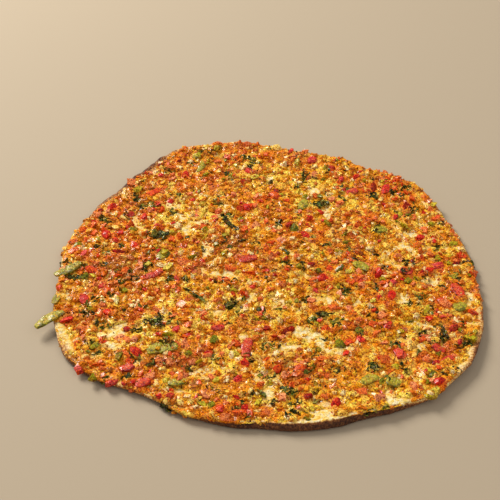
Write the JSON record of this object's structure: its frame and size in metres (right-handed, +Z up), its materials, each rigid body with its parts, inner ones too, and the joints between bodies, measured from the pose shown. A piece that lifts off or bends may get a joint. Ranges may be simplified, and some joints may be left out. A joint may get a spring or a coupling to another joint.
{
  "type": "lahmacun",
  "caption": "Thin round flatbread, hand stretched, spread with minced meat, chopped peppers, tomato, onion and parsley.",
  "frame": {"origin": "middle of the flat underside, on the surface it rests on", "axes": "+Z up out of the topping, +Y towards the far side as served, +X to the right"},
  "size_m": [0.2966, 0.2967, 0.0082],
  "materials": {
    "baked_dough": "dry and matte, cream where bare, browned along the rim and dark brown below",
    "meat_topping": "moist and oily crumbs of orange-brown mince with onion and tomato",
    "green_pepper": "glossy skin, soft pale flesh, roasted",
    "red_pepper": "glossy and moist, roasted",
    "parsley": "wilted dark green leaf, satin"
  },
  "bodies": {
    "root": {"flatbread": "baked_dough", "meat_topping": "meat_topping", "green_pepper_slice_01": "green_pepper", "green_pepper_slice_02": "green_pepper", "green_pepper_slice_03": "green_pepper", "green_pepper_slice_04": "green_pepper", "green_pepper_slice_05": "green_pepper", "green_pepper_slice_06": "green_pepper", "green_pepper_slice_07": "green_pepper", "green_pepper_slice_08": "green_pepper", "green_pepper_slice_09": "green_pepper", "green_pepper_slice_10": "green_pepper", "green_pepper_slice_11": "green_pepper", "green_pepper_slice_12": "green_pepper", "red_pepper_piece_01": "red_pepper", "red_pepper_piece_02": "red_pepper", "red_pepper_piece_03": "red_pepper", "red_pepper_piece_04": "red_pepper", "red_pepper_piece_05": "red_pepper", "red_pepper_piece_06": "red_pepper", "red_pepper_piece_07": "red_pepper", "red_pepper_piece_08": "red_pepper", "red_pepper_piece_09": "red_pepper", "red_pepper_piece_10": "red_pepper", "red_pepper_piece_11": "red_pepper", "red_pepper_piece_12": "red_pepper", "parsley_leaf_01": "parsley", "parsley_leaf_02": "parsley", "parsley_leaf_03": "parsley", "parsley_leaf_04": "parsley", "parsley_leaf_05": "parsley", "parsley_leaf_06": "parsley", "parsley_leaf_07": "parsley", "parsley_leaf_08": "parsley", "parsley_leaf_09": "parsley", "parsley_leaf_10": "parsley"}
  },
  "joints": []
}
